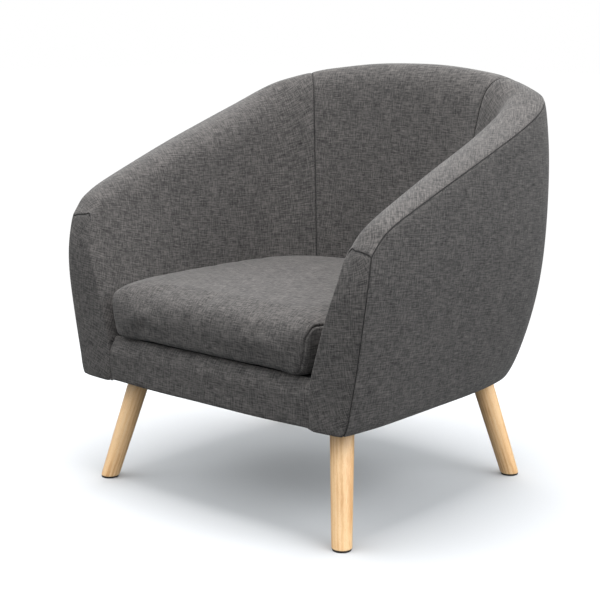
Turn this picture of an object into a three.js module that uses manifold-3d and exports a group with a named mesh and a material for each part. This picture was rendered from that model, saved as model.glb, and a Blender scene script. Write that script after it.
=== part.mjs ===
// An upholstered tub armchair on four splayed wooden legs, in millimetres.
// X runs from the chair's left arm to its right arm as seen from the front, Y from front to back, Z up.
import * as THREE from "three";
import { mergeVertices } from "three/addons/utils/BufferGeometryUtils.js";
import Module from "manifold-3d";

const wasm = await Module();
wasm.setup();

// ---- Driving dimensions ----
const GAP = 0.4; // clearance between neighbouring pieces
const COVER = 4; // fabric with its fibre backing
const CENTRE_Y = 31; // middle of the whole chair, measured from the middle of its four feet
const FRONT_Y = -281.5; // plane of the two arm facings
const SHELL_BOTTOM = 200.7;
const SEAT_LEVEL = 370; // height at which the inner plan outline is given
const WALL_LOW = 271; // lower edge of the inner covers and foams
const FRONT_STATIONS = 3; // the rounded arm front fades out over these stations
const ROUND_FROM = 360; // height at which the arm front starts to lean back
const ROUND_BACK = 13.5; // how far it has leaned back at the cross seam
const CROSS_SEAM = 487;
const HEM_HIGH = 18; // the outer wall rounds in over this height above its lower edge
const HEM_TUCK = 4;
const RAIL_LOW = 202.6;
const RAIL_HIGH = 258;
const RAIL_THICK = 22;

// The right half of the wall, from the arm front to the middle of the back. At each station:
// out: outermost plan point; seat: inner plan point at seat level; seam: height of the outer top seam;
// belly: height at which the outer wall is widest; foot, power: how far and how steeply it tucks in below;
// lip: how far it leans in at the top seam; roll: depth of the inner face below the top roll;
// crown: rise of the roll above the seam; fall: drop of its inner edge below the seam.
const STATIONS = [
  {
    out: [348.5, -281.5], seat: [263.5, -281.5], seam: 487, belly: 445,
    foot: 38, power: 1.4, lip: 1.5, roll: 55, crown: 4, fall: 12,
  },
  {
    out: [351.5, -256], seat: [259, -256], seam: 511, belly: 455,
    foot: 38, power: 1.4, lip: 1.5, roll: 59, crown: 6, fall: 19,
  },
  {
    out: [354, -231], seat: [255, -231], seam: 525.5, belly: 462,
    foot: 38, power: 1.4, lip: 2, roll: 64, crown: 8, fall: 25,
  },
  {
    out: [357.5, -180], seat: [251, -180], seam: 546, belly: 475,
    foot: 38, power: 1.5, lip: 2, roll: 71, crown: 9, fall: 31,
  },
  {
    out: [362.5, -40], seat: [252, -35], seam: 597.4, belly: 520,
    foot: 43, power: 1.7, lip: 2.5, roll: 85, crown: 10.5, fall: 38,
  },
  {
    out: [363, 70], seat: [240, 75], seam: 635, belly: 545,
    foot: 45, power: 2, lip: 3, roll: 93, crown: 11.5, fall: 42,
  },
  {
    out: [359, 175], seat: [222, 140], seam: 670, belly: 555,
    foot: 52, power: 2.4, lip: 5, roll: 97, crown: 12.5, fall: 45,
  },
  {
    out: [340, 254], seat: [196, 182], seam: 700, belly: 560,
    foot: 62, power: 2.7, lip: 11, roll: 99, crown: 14.5, fall: 48,
  },
  {
    out: [267, 307], seat: [157, 203], seam: 722, belly: 560,
    foot: 60, power: 2.6, lip: 16, roll: 98, crown: 15, fall: 50,
  },
  {
    out: [200, 328], seat: [117, 222], seam: 733, belly: 560,
    foot: 57, power: 2.4, lip: 16, roll: 94, crown: 14, fall: 52,
  },
  {
    out: [100, 345], seat: [58, 232], seam: 742, belly: 560,
    foot: 54, power: 2.3, lip: 16, roll: 91, crown: 13.5, fall: 54,
  },
  {
    out: [0, 352], seat: [0, 235], seam: 744, belly: 560,
    foot: 52, power: 2.3, lip: 16, roll: 90, crown: 13.5, fall: 54,
  },
];
const LAST = 2 * (STATIONS.length - 1); // station number of the left arm front

const LEG_FOOT = [280.3, 251.4]; // centre of a foot on the floor
const LEG_HEAD = [238.5, 201]; // the leg's axis at the underside of the shell
const LEG_TOP = 197;
const LEG_FOOT_RADIUS = 17;
const LEG_HEAD_RADIUS = 20.5;
const GLIDE_HIGH = 3;
const BOLT_RADIUS = 4;
const BORE_RADIUS = 4.4;
const BOLT_LOW = 152;
const BOLT_HIGH = 224;
const BORE_END = BOLT_LOW - 2;
const PLATE_SIDE = 50;

const CUSHION_LOW = 280.8;
const CUSHION_FRONT = -290;
const CUSHION_LIFT_GAP = 2.5; // between the cushion and the walls
const CUSHION_SKIN = 2;
const CUSHION_CORNER = 18; // radius of its front corners
const DECK_LOW = 263.2;
const DECK_HIGH = 277.6;
const DECK_CLOTH = 2;
const DECK_CLEARANCE = 5;
const DECK_FRONT = -257;
const APRON_HALF = 235.4;
const FACING_PUFF = 3; // how far the middle of an arm facing stands forward

// ---- Materials ----
const finish = (color, roughness, metalness) =>
  new THREE.MeshStandardMaterial({ color, roughness, metalness });
const FABRIC = finish("#55514f", 0.95, 0);
const LINING = finish("#2a2a2b", 0.95, 0);
const BEECH = finish("#e3b47f", 0.5, 0);
const PINE = finish("#c9a878", 0.75, 0);
const FIBREBOARD = finish("#8d6d4b", 0.85, 0);
const FOAM = finish("#e9e4cf", 0.95, 0);
const WEBBING = finish("#3a3330", 0.9, 0);
const STEEL = finish("#9a9da0", 0.35, 1);
const GLIDE = finish("#2d2a28", 0.6, 0);

// ---- Closed solids ----
const chair = new THREE.Group();
chair.position.y = -CENTRE_Y;

function addPiece(name, geometry, material) {
  const mesh = new THREE.Mesh(geometry, material);
  mesh.name = name;
  chair.add(mesh);
}

// Geometry from points and triangles, turned face out whichever way it was made.
function closedGeometry(points, triangles) {
  let volume = 0;
  for (const [a, b, c] of triangles) {
    const [p, q, r] = [points[a], points[b], points[c]];
    volume += p.clone().cross(q).dot(r);
  }
  const index = triangles.flatMap(([a, b, c]) => (volume > 0 ? [a, b, c] : [a, c, b]));
  const geometry = new THREE.BufferGeometry().setFromPoints(points);
  geometry.setIndex(index);
  return geometry;
}

// A slab between two grids of points of the same size.
function slab(front, back) {
  const rows = front.length;
  const columns = front[0].length;
  const points = [...front.flat(), ...back.flat()];
  const at = (side, i, j) => side * rows * columns + i * columns + j;
  const triangles = [];
  const quad = (a, b, c, d) => triangles.push([a, b, c], [a, c, d]);
  for (let i = 0; i + 1 < rows; i++) {
    for (let j = 0; j + 1 < columns; j++) {
      quad(at(0, i, j), at(0, i, j + 1), at(0, i + 1, j + 1), at(0, i + 1, j));
      quad(at(1, i, j), at(1, i + 1, j), at(1, i + 1, j + 1), at(1, i, j + 1));
    }
    quad(at(0, i, 0), at(0, i + 1, 0), at(1, i + 1, 0), at(1, i, 0));
    quad(at(0, i + 1, columns - 1), at(0, i, columns - 1), at(1, i, columns - 1), at(1, i + 1, columns - 1));
  }
  for (let j = 0; j + 1 < columns; j++) {
    quad(at(0, 0, j + 1), at(0, 0, j), at(1, 0, j), at(1, 0, j + 1));
    quad(at(0, rows - 1, j), at(0, rows - 1, j + 1), at(1, rows - 1, j + 1), at(1, rows - 1, j));
  }
  return closedGeometry(points, triangles);
}

// A solid through a stack of rings, closed by a point at each end.
function stack(rings, first, last) {
  const count = rings[0].length;
  const points = [...rings.flat(), first, last];
  const triangles = [];
  for (let k = 0; k < rings.length - 1; k++) {
    for (let i = 0; i < count; i++) {
      const a = k * count + i;
      const b = k * count + ((i + 1) % count);
      triangles.push([a, b, b + count], [a, b + count, a + count]);
    }
  }
  const top = (rings.length - 1) * count;
  for (let i = 0; i < count; i++) {
    const next = (i + 1) % count;
    triangles.push([next, i, points.length - 2], [top + i, top + next, points.length - 1]);
  }
  return closedGeometry(points, triangles);
}

function block(x0, x1, y0, y1, z0, z1) {
  const geometry = new THREE.BoxGeometry(x1 - x0, y1 - y0, z1 - z0);
  return geometry.translate((x0 + x1) / 2, (y0 + y1) / 2, (z0 + z1) / 2);
}

// A flat outline, with holes, between two heights.
function board(outline, low, high, holes = []) {
  const shape = new THREE.Shape(outline);
  shape.holes = holes.map((hole) => new THREE.Path(hole));
  const geometry = new THREE.ExtrudeGeometry(shape, { depth: high - low, bevelEnabled: false });
  return geometry.translate(0, 0, low);
}

function solidOf(geometry) {
  const bare = geometry.clone();
  bare.deleteAttribute("normal");
  bare.deleteAttribute("uv");
  const merged = mergeVertices(bare, 1e-3);
  const triVerts = new Uint32Array(merged.index.array);
  const vertProperties = merged.attributes.position.array;
  return new wasm.Manifold(new wasm.Mesh({ numProp: 3, vertProperties, triVerts }));
}

function geometryOf(solid) {
  const mesh = solid.getMesh();
  const geometry = new THREE.BufferGeometry();
  geometry.setAttribute("position", new THREE.BufferAttribute(mesh.vertProperties, 3));
  geometry.setIndex(new THREE.BufferAttribute(mesh.triVerts, 1));
  return geometry;
}

// ---- The wall of the tub ----
const mirrored = STATIONS.slice(0, -1).reverse();
const flip = (station) => ({
  ...station,
  out: [-station.out[0], station.out[1]],
  seat: [-station.seat[0], station.seat[1]],
});
const ALL_STATIONS = [...STATIONS, ...mirrored.map(flip)];

function track(read) {
  const points = ALL_STATIONS.map((station) => new THREE.Vector3(...read(station)));
  const curve = new THREE.CatmullRomCurve3(points, false, "catmullrom", 0.5);
  return (u) => curve.getPoint(THREE.MathUtils.clamp(u / LAST, 0, 1));
}
const outTrack = track((s) => [...s.out, s.seam]);
const seatTrack = track((s) => [...s.seat, s.belly]);
const footTrack = track((s) => [s.foot, s.power, s.lip]);
const rollTrack = track((s) => [s.roll, s.crown, s.fall]);

// Everything about the wall at station u: plan line, heights and insets.
function section(u) {
  const out = outTrack(u);
  const seat = seatTrack(u);
  const foot = footTrack(u);
  const roll = rollTrack(u);
  const across = new THREE.Vector2(seat.x - out.x, seat.y - out.y);
  const seatDepth = across.length();
  const innerTop = out.z - roll.z;
  const slope = (seatDepth - roll.x) / (innerTop - SEAT_LEVEL);
  return {
    x: out.x, y: out.y, across: across.normalize(),
    seam: out.z, belly: seat.z, foot: foot.x, power: foot.y, lip: foot.z,
    roll: roll.x, crown: roll.y, innerTop, slope,
  };
}

function outerDepth(s, z) {
  const low = Math.max(0, (s.belly - z) / (s.belly - SHELL_BOTTOM));
  const high = Math.max(0, (z - s.belly) / (s.seam - s.belly));
  const tuck = Math.max(0, 1 - (z - SHELL_BOTTOM) / HEM_HIGH);
  return s.foot * low ** s.power + HEM_TUCK * tuck ** 2 + s.lip * high ** 2;
}
const innerDepth = (s, z) => s.roll + s.slope * (s.innerTop - z);

// How far the arm front leans back at height z.
function lean(z) {
  const rise = THREE.MathUtils.clamp((z - ROUND_FROM) / (CROSS_SEAM - ROUND_FROM), 0, 1);
  return ROUND_BACK * rise ** 2.2;
}

// The point at station u, depth d in from the outermost line, height z.
function wallPoint(u, d, z) {
  const s = section(u);
  const fade = Math.max(0, 1 - Math.min(u, LAST - u) / FRONT_STATIONS);
  return new THREE.Vector3(s.x + s.across.x * d, s.y + s.across.y * d + lean(z) * fade, z);
}

const OUTER_ROWS = [0, 0.05, 0.14, 0.28, 0.45, 0.64, 0.83, 1];
const ROLL_ROWS = [0.2, 0.4, 0.6, 0.8, 1];
const INNER_ROWS = [0.18, 0.38, 0.6, 0.8, 1];
const SEAM_ROW = OUTER_ROWS.length - 1;
const END_ROW = SEAM_ROW + ROLL_ROWS.length + INNER_ROWS.length;

// The wall's skin at station u, from the outer bottom edge over the roll to the inner lower edge,
// as points (depth, height).
function contour(u) {
  const s = section(u);
  const rise = s.crown * 1.05 + 0.32 * (s.seam - s.innerTop);
  const start = new THREE.Vector2(s.lip, s.seam);
  const end = new THREE.Vector2(s.roll, s.innerTop);
  const width = s.roll - s.lip;
  const handle = rise + s.seam - s.innerTop;
  const arch = new THREE.CubicBezierCurve(
    start,
    new THREE.Vector2(s.lip + 0.34 * width, s.seam + 1.3 * s.crown),
    new THREE.Vector2(s.roll - s.slope * handle, s.seam + rise),
    end,
  );
  const outer = OUTER_ROWS.map((r) => {
    const z = THREE.MathUtils.lerp(SHELL_BOTTOM, s.seam, r);
    return new THREE.Vector2(outerDepth(s, z), z);
  });
  const roll = ROLL_ROWS.map((t) => arch.getPoint(t));
  const inner = INNER_ROWS.map((r) => {
    const z = THREE.MathUtils.lerp(s.innerTop, WALL_LOW, r);
    return new THREE.Vector2(innerDepth(s, z), z);
  });
  return [...outer, ...roll, ...inner];
}

// Unit normals of a contour that point into the wall, stretched at a corner so that layers keep their thickness.
function inwardNormals(points) {
  const side = (a, b) => new THREE.Vector2(b.y - a.y, a.x - b.x).normalize();
  return points.map((point, i) => {
    const before = side(points[Math.max(i - 1, 0)], points[Math.max(i, 1)]);
    const after = side(points[Math.min(i, points.length - 2)], points[Math.min(i + 1, points.length - 1)]);
    const normal = before.clone().add(after).normalize();
    return normal.multiplyScalar(1 / Math.max(0.75, normal.dot(before)));
  });
}

// One column of skin points at station u, rows first to last, at a depth below the skin. The end rows are
// drawn in by the gap.
function column(u, first, last, depthOf) {
  const points = contour(u);
  const normals = inwardNormals(points);
  const s = section(u);
  const layer = points.map((point, row) => point.clone().addScaledVector(normals[row], depthOf(s, row, point)));
  const rows = layer.slice(first, last + 1);
  const trim = (end, next) => end.add(next.clone().sub(end).setLength(GAP / 2));
  trim(rows[0], rows[1]);
  trim(rows[rows.length - 1], rows[rows.length - 2]);
  return rows.map((point) => wallPoint(u, point.x, point.y));
}

const SIDE_COLUMNS = [0, 0.5, 1, 1.5, 2, 2.5, 3, 3.5, 4, 4.5, 5, 5.5, 6, 6.5, 7, 7.33, 7.66, 8];
const BACK_COLUMNS = [8, 8.5, 9, 9.5, 10, 10.5, 11, 11.5, 12, 12.5, 13, 13.5, 14];
const SEAM_GAP = 0.005; // in stations
const FACING_GAP = 0.24; // in stations: the covers start behind the arm facing
const trimmed = (columns, start, end) =>
  columns.map((u, i) => (i === 0 ? u + start : i === columns.length - 1 ? u - end : u));
const RIGHT = trimmed(SIDE_COLUMNS, FACING_GAP, SEAM_GAP);
const LEFT = RIGHT.map((u) => LAST - u);
const BACK = trimmed(BACK_COLUMNS, SEAM_GAP, SEAM_GAP);

function layerPiece(name, stations, first, last, near, far, material) {
  const front = stations.map((u) => column(u, first, last, near));
  const back = stations.map((u) => column(u, first, last, far));
  addPiece(name, slab(front, back), material);
}

const atSkin = () => 0;
const underCover = () => COVER;
const boardFront = () => COVER + GAP;
const boardBack = () => COVER + GAP + 2.5;
const foamFront = () => COVER + GAP;
function foamBack(s, row, point) {
  const z = Math.min(point.y, s.innerTop);
  return COVER + GAP + 0.22 * (innerDepth(s, z) - outerDepth(s, z));
}

function makeWallLayers() {
  const sides = [["right", RIGHT], ["left", LEFT], ["back", BACK]];
  for (const [side, stations] of sides) {
    layerPiece(`outer_cover_${side}`, stations, 0, SEAM_ROW, atSkin, underCover, FABRIC);
    layerPiece(`inner_cover_${side}`, stations, SEAM_ROW, END_ROW, atSkin, underCover, FABRIC);
  }
  for (const [side, stations] of sides) {
    const backed = side === "back" ? stations : stations.slice(1);
    const coarse = backed.filter((u, i) => i % 2 === 0);
    layerPiece(`outer_board_${side}`, coarse, 1, SEAM_ROW - 1, boardFront, boardBack, FIBREBOARD);
    layerPiece(`foam_${side}`, backed, SEAM_ROW + 1, END_ROW, foamFront, foamBack, FOAM);
  }
}

// ---- The wooden frame inside the wall ----
// A bar inside the wall between stations and between two heights, each worked out at its station.
function wallBar(name, stations, halfWidth, heights) {
  const sides = [-1, 1].map((side) =>
    stations.map((u) => {
      const s = section(u);
      return heights(s).map((z) => {
        const middle = (outerDepth(s, z) + innerDepth(s, Math.min(z, s.innerTop))) / 2;
        return wallPoint(u, middle + side * halfWidth, z);
      });
    }),
  );
  addPiece(name, slab(...sides), PINE);
}

const RAIL_UNDER_SEAM = 33;
const BAR_HALF = 8.5; // half the thickness of the boards that the wall's frame is sawn from
const TOP_RAIL_HEIGHT = 22;
const topRail = (s) => [s.seam - RAIL_UNDER_SEAM - TOP_RAIL_HEIGHT, s.seam - RAIL_UNDER_SEAM];
const post = (s) => [RAIL_HIGH + GAP, 330, 400, s.seam - RAIL_UNDER_SEAM - TOP_RAIL_HEIGHT - 6];

function makeWallFrame() {
  const span = (from, to, steps) =>
    Array.from({ length: steps + 1 }, (unused, i) => THREE.MathUtils.lerp(from, to, i / steps));
  const armRail = [0.5, 1, 1.5, 2, 3, 3.5, 4, 4.5, 5, 5.5, 6, 6.5, 7, 7.33, 7.66, 7.98];
  for (const [side, place] of [["right", (u) => u], ["left", (u) => LAST - u]]) {
    wallBar(`arm_top_rail_${side}`, armRail.map(place), BAR_HALF, topRail);
    wallBar(`front_post_${side}`, span(0.5, 1.3, 2).map(place), BAR_HALF, post);
    wallBar(`back_post_${side}`, span(7.72, 7.98, 2).map(place), BAR_HALF, post);
  }
  wallBar("back_top_rail", span(8.02, 13.98, 12), BAR_HALF, topRail);
}

// ---- The base ----
const SIDE_RAIL_X = 255;
const BACK_RAIL_Y = 238;
const legAxis = (z) =>
  LEG_FOOT.map((foot, i) => THREE.MathUtils.lerp(foot, LEG_HEAD[i], z / 200));
const CORNERS = [
  ["front_right", 1, -1],
  ["front_left", -1, -1],
  ["back_right", 1, 1],
  ["back_left", -1, 1],
];

// A round bar along the leg's axis between two heights.
function legBar(sx, sy, radius, low, high) {
  const [a, b] = [low, high].map((z) => {
    const [x, y] = legAxis(z);
    return new THREE.Vector3(sx * x, sy * y, z);
  });
  const way = b.clone().sub(a);
  const geometry = new THREE.CylinderGeometry(radius, radius, way.length(), 12);
  const turn = new THREE.Quaternion().setFromUnitVectors(new THREE.Vector3(0, 1, 0), way.normalize());
  geometry.applyQuaternion(turn);
  return geometry.translate((a.x + b.x) / 2, (a.y + b.y) / 2, (a.z + b.z) / 2);
}

function makeRails() {
  const back = BACK_RAIL_Y + RAIL_THICK;
  const front = FRONT_Y + COVER + 3;
  addPiece("front_rail", block(-296, 296, front, front + RAIL_THICK, RAIL_LOW, RAIL_HIGH), PINE);
  addPiece("back_rail", block(-163, 163, BACK_RAIL_Y, back, RAIL_LOW, RAIL_HIGH), PINE);
  for (const [side, sign] of [["right", 1], ["left", -1]]) {
    const xs = [sign * SIDE_RAIL_X, sign * (SIDE_RAIL_X + RAIL_THICK)].sort((a, b) => a - b);
    const rail = block(...xs, front + RAIL_THICK + GAP, 185, RAIL_LOW, RAIL_HIGH);
    addPiece(`side_rail_${side}`, rail, PINE);
  }
}

// Corner blocks hold the legs. The back ones are cut off at the outer corner, inside the round of the shell.
function makeCornerBlocks() {
  const inner = 164;
  const outer = SIDE_RAIL_X - GAP;
  const frontEdge = -FRONT_Y - COVER - 3 - RAIL_THICK - GAP;
  const front = [[inner, 150], [outer, 150], [outer, frontEdge], [inner, frontEdge]];
  const back = [[inner, 150], [outer, 150], [outer, 205], [205, 246], [inner, 246]];
  for (const [corner, sx, sy] of CORNERS) {
    const outline = (sy < 0 ? front : back).map(([x, y]) => new THREE.Vector2(sx * x, sy * y));
    const solid = solidOf(board(outline, RAIL_LOW, RAIL_HIGH - 6));
    const hole = solidOf(legBar(sx, sy, 10, 180, 280));
    addPiece(`corner_block_${corner}`, geometryOf(solid.subtract(hole)), PINE);
  }
}

// A tapered leg whose foot and head are cut level, with a blind bore for its bolt.
function makeLegs() {
  const sides = 20;
  const tilt = Math.hypot(LEG_FOOT[0] - LEG_HEAD[0], LEG_FOOT[1] - LEG_HEAD[1]) / 200;
  const stretch = Math.hypot(1, tilt);
  const heading = Math.atan2(LEG_FOOT[1] - LEG_HEAD[1], LEG_FOOT[0] - LEG_HEAD[0]);
  for (const [corner, sx, sy] of CORNERS) {
    const ring = (z, radius) =>
      Array.from({ length: sides }, (unused, i) => {
        const angle = (2 * Math.PI * i) / sides;
        const along = radius * stretch * Math.cos(angle);
        const aside = radius * Math.sin(angle);
        const [x, y] = legAxis(z);
        const dx = along * Math.cos(heading) - aside * Math.sin(heading);
        const dy = along * Math.sin(heading) + aside * Math.cos(heading);
        return new THREE.Vector3(sx * (x + dx), sy * (y + dy), z);
      });
    const radiusAt = (z) => THREE.MathUtils.lerp(LEG_FOOT_RADIUS, LEG_HEAD_RADIUS, z / LEG_TOP);
    const centre = (z) => new THREE.Vector3(sx * legAxis(z)[0], sy * legAxis(z)[1], z);
    const heights = [GLIDE_HIGH + GAP, 5, 70, 135, LEG_TOP - 1.5];
    const rings = heights.map((z, i) => ring(z, radiusAt(z) - (i === 0 ? 1 : 0)));
    rings.push(ring(LEG_TOP, LEG_HEAD_RADIUS - 1), ring(LEG_TOP, BORE_RADIUS), ring(BORE_END, BORE_RADIUS));
    addPiece(`leg_${corner}`, stack(rings, centre(heights[0]), centre(BORE_END)), BEECH);
    addPiece(`hanger_bolt_${corner}`, legBar(sx, sy, BOLT_RADIUS, BOLT_LOW, BOLT_HIGH), STEEL);
    const glide = new THREE.CylinderGeometry(LEG_FOOT_RADIUS - 1, LEG_FOOT_RADIUS - 1.5, GLIDE_HIGH, sides);
    glide.rotateX(Math.PI / 2);
    const foot = centre(GLIDE_HIGH / 2);
    addPiece(`glide_${corner}`, glide.translate(foot.x, foot.y, foot.z), GLIDE);
    makeLegPlate(corner, sx, sy);
  }
}

// A flat steel plate under the block, with a slanted threaded boss for the bolt.
function makeLegPlate(corner, sx, sy) {
  const half = PLATE_SIDE / 2;
  const [x, y] = [sx * LEG_HEAD[0], sy * LEG_HEAD[1]];
  const low = LEG_TOP + GAP;
  const plate = solidOf(block(x - half, x + half, y - half, y + half, low, SHELL_BOTTOM - GAP));
  const boss = solidOf(legBar(sx, sy, 8, low + 2.5, 222));
  const bore = solidOf(legBar(sx, sy, BORE_RADIUS, 190, 240));
  addPiece(`leg_plate_${corner}`, geometryOf(plate.add(boss).subtract(bore)), STEEL);
}

// The outline of the seat between the walls at height z, drawn in by a clearance, as plan points.
function seatOutline(z, clearance) {
  return Array.from({ length: LAST + 1 }, (unused, u) => {
    const s = section(u);
    const point = wallPoint(u, innerDepth(s, z) + clearance, z);
    return new THREE.Vector2(point.x, point.y);
  });
}

function makeSeatDeck() {
  const webWidth = 50;
  for (const [i, x] of [-138, -46, 46, 138].entries()) {
    const strap = block(x - webWidth / 2, x + webWidth / 2, -272, 256, RAIL_HIGH + GAP, RAIL_HIGH + GAP + 1.8);
    addPiece(`long_webbing_${i + 1}`, strap, WEBBING);
  }
  for (const [i, y] of [-150, -25, 100].entries()) {
    const low = RAIL_HIGH + 2 * GAP + 1.8;
    const strap = block(-274, 274, y - webWidth / 2, y + webWidth / 2, low, low + 1.8);
    addPiece(`cross_webbing_${i + 1}`, strap, WEBBING);
  }
  const front = (outline) => outline.map((p) => new THREE.Vector2(p.x, Math.max(p.y, DECK_FRONT)));
  const outline = front(seatOutline(WALL_LOW - 2, DECK_CLEARANCE));
  addPiece("deck_foam", board(outline, DECK_LOW, DECK_HIGH), FOAM);
  const cloth = board(outline, DECK_HIGH + GAP, DECK_HIGH + GAP + DECK_CLOTH);
  addPiece("deck_cloth", cloth, LINING);
}

function makeDustCover() {
  const edge = Array.from({ length: LAST + 1 }, (unused, u) => {
    const s = section(u);
    const point = wallPoint(u, outerDepth(s, SHELL_BOTTOM) + COVER + 3, SHELL_BOTTOM);
    return new THREE.Vector2(point.x, Math.max(point.y, FRONT_Y + COVER + 2));
  });
  const holes = CORNERS.map(([corner, sx, sy]) => {
    const [x, y] = [sx * LEG_HEAD[0], sy * LEG_HEAD[1]];
    return new THREE.Path().absarc(x, y, 12, 0, 2 * Math.PI).getPoints(6).slice(0, -1);
  });
  addPiece("dust_cover", board(edge, SHELL_BOTTOM, SHELL_BOTTOM + 1.2, holes), LINING);
}

// ---- Covers of the front ----
// An arm facing closes the end of the wall, from the shell's lower edge to the arched cross seam. Its rows
// meet those of the outer and inner covers behind it.
function makeFacings() {
  const across = [0, 0.1, 0.35, 0.65, 0.9, 1];
  const s = section(0);
  const arch = contour(0).slice(SEAM_ROW, SEAM_ROW + ROLL_ROWS.length + 1);
  const outerEdge = OUTER_ROWS.map((r) => THREE.MathUtils.lerp(SHELL_BOTTOM, s.seam - GAP, r));
  const beside = INNER_ROWS.map((r) => THREE.MathUtils.lerp(s.innerTop, WALL_LOW, r)).reverse();
  const innerEdge = [SHELL_BOTTOM, (SHELL_BOTTOM + WALL_LOW) / 2, ...beside, s.innerTop - GAP];
  const grid = (station, back) =>
    OUTER_ROWS.map((q, k) =>
      across.map((r, j) => {
        const level = THREE.MathUtils.lerp(outerEdge[k], innerEdge[k], r);
        const z = q === 1 ? arch[j].y - GAP : level;
        const inner = Math.min(innerDepth(s, z), s.x - APRON_HALF - GAP);
        const between = THREE.MathUtils.lerp(outerDepth(s, z), inner, r);
        const depth = THREE.MathUtils.lerp(between, arch[j].x, q ** 6);
        const puff = back ? -COVER : FACING_PUFF * Math.sin(Math.PI * r) ** 0.5;
        const point = wallPoint(station, depth, z);
        return point.setY(point.y - puff);
      }),
    );
  for (const [side, station] of [["right", 0], ["left", LAST]]) {
    addPiece(`facing_${side}`, slab(grid(station, false), grid(station, true)), FABRIC);
  }
}

// The cover of the front rail, rolled back over its upper edge.
function makeApron() {
  const rows = [
    [0, SHELL_BOTTOM, 0],
    [0, 225, 0],
    [0, 247, 0],
    [2, 258, 1],
    [6, 267.5, 2.8],
    [11.5, 275, 4],
    [17, 279.5, 5],
  ];
  const profile = rows.map(([back, z]) => new THREE.Vector2(back, z));
  const normals = inwardNormals(profile);
  const grid = (depth) =>
    rows.map(([back, z, narrower], row) =>
      [-1, -0.6, -0.2, 0.2, 0.6, 1].map((r) => {
        const y = FRONT_Y + back + depth * normals[row].x;
        return new THREE.Vector3(r * (APRON_HALF - narrower), y, z + depth * normals[row].y);
      }),
    );
  addPiece("apron_cover", slab(grid(0), grid(COVER)), FABRIC);
}

// ---- The loose seat cushion ----
const CUSHION_LEVELS = [
  { z: CUSHION_LOW, scale: 0.975 },
  { z: 284, scale: 0.995 },
  { z: 295, scale: 1 },
  { z: 325, scale: 1 },
  { z: 350, scale: 0.995 },
  { z: 364, scale: 0.98 },
  { z: 376, scale: 0.93 },
  { z: 384, scale: 0.8 },
  { z: 388.5, scale: 0.5 },
];
const CUSHION_HIGH = 390;
const CUSHION_CENTRE = new THREE.Vector2(0, -40);

// The cushion's outline at height z: the seat between the walls, closed by a straight front with round corners.
function cushionOutline(z, clearance) {
  const narrow = THREE.MathUtils.mapLinear(z, 282, 355, 221, 233) - clearance + CUSHION_LIFT_GAP;
  const wall = seatOutline(z, clearance)
    .filter((point) => point.y > -262)
    .map((point) => {
      const widest = narrow + 0.28 * Math.max(0, point.y - CUSHION_FRONT - CUSHION_CORNER);
      return new THREE.Vector2(Math.sign(point.x) * Math.min(Math.abs(point.x), widest), point.y);
    });
  const front = CUSHION_FRONT + clearance - CUSHION_LIFT_GAP;
  const right = [0, 0.25, 0.5, 0.75, 1].map((t) => {
    const angle = (t * Math.PI) / 2;
    const x = narrow - CUSHION_CORNER * (1 - Math.sin(angle));
    return new THREE.Vector2(x, front + CUSHION_CORNER * (1 - Math.cos(angle)));
  });
  const left = right.map((point) => new THREE.Vector2(-point.x, point.y)).reverse();
  const middle = [-120, 0, 120].map((x) => new THREE.Vector2(x, front));
  return [...wall, ...left, ...middle, ...right];
}

function cushionSolid(inset) {
  const low = CUSHION_LOW + inset;
  const high = CUSHION_HIGH - inset;
  const squeeze = (z) => THREE.MathUtils.mapLinear(z, CUSHION_LOW, CUSHION_HIGH, low, high);
  const rings = CUSHION_LEVELS.map(({ z, scale }) =>
    cushionOutline(Math.min(z, 366), CUSHION_LIFT_GAP + inset).map((point) => {
      const plan = point.clone().sub(CUSHION_CENTRE).multiplyScalar(scale).add(CUSHION_CENTRE);
      return new THREE.Vector3(plan.x, plan.y, squeeze(z));
    }),
  );
  const middle = (z) => new THREE.Vector3(CUSHION_CENTRE.x, CUSHION_CENTRE.y, z);
  return solidOf(stack(rings, middle(low), middle(high)));
}

// A band that follows the back of the cushion, for its zip.
function zipBand(from, to, near, far, low, high) {
  const stations = Array.from({ length: 9 }, (unused, i) => THREE.MathUtils.lerp(from, to, i / 8));
  const grid = (depth) =>
    stations.map((u) => [low, high].map((z) => wallPoint(u, innerDepth(section(u), 310) + depth, z)));
  return slab(grid(near), grid(far));
}

function makeCushion() {
  const slot = solidOf(zipBand(9, 13, -6, 14, 306, 314));
  const cover = cushionSolid(0).subtract(cushionSolid(CUSHION_SKIN)).subtract(slot);
  addPiece("cushion_cover", geometryOf(cover), FABRIC);
  const core = cushionSolid(CUSHION_SKIN + 1.5);
  addPiece("cushion_core", geometryOf(core), FOAM);
  const zip = zipBand(9.01, 12.99, 2.9, 4.4, 306.5, 313.5);
  addPiece("cushion_zip", zip, LINING);
}

makeWallLayers();
makeWallFrame();
makeRails();
makeCornerBlocks();
makeLegs();
makeSeatDeck();
makeDustCover();
makeFacings();
makeApron();
makeCushion();

export default chair;
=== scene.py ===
"""An upholstered tub armchair on turned beech legs, with a loose seat cushion.

The covers of the tub are sewn together from the frame's cover nodes as one skin, smoothed, given their
seams and cut apart again into panels. A cloth simulation inflates the cushion, which then gets its seams
and its zip.
"""

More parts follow.
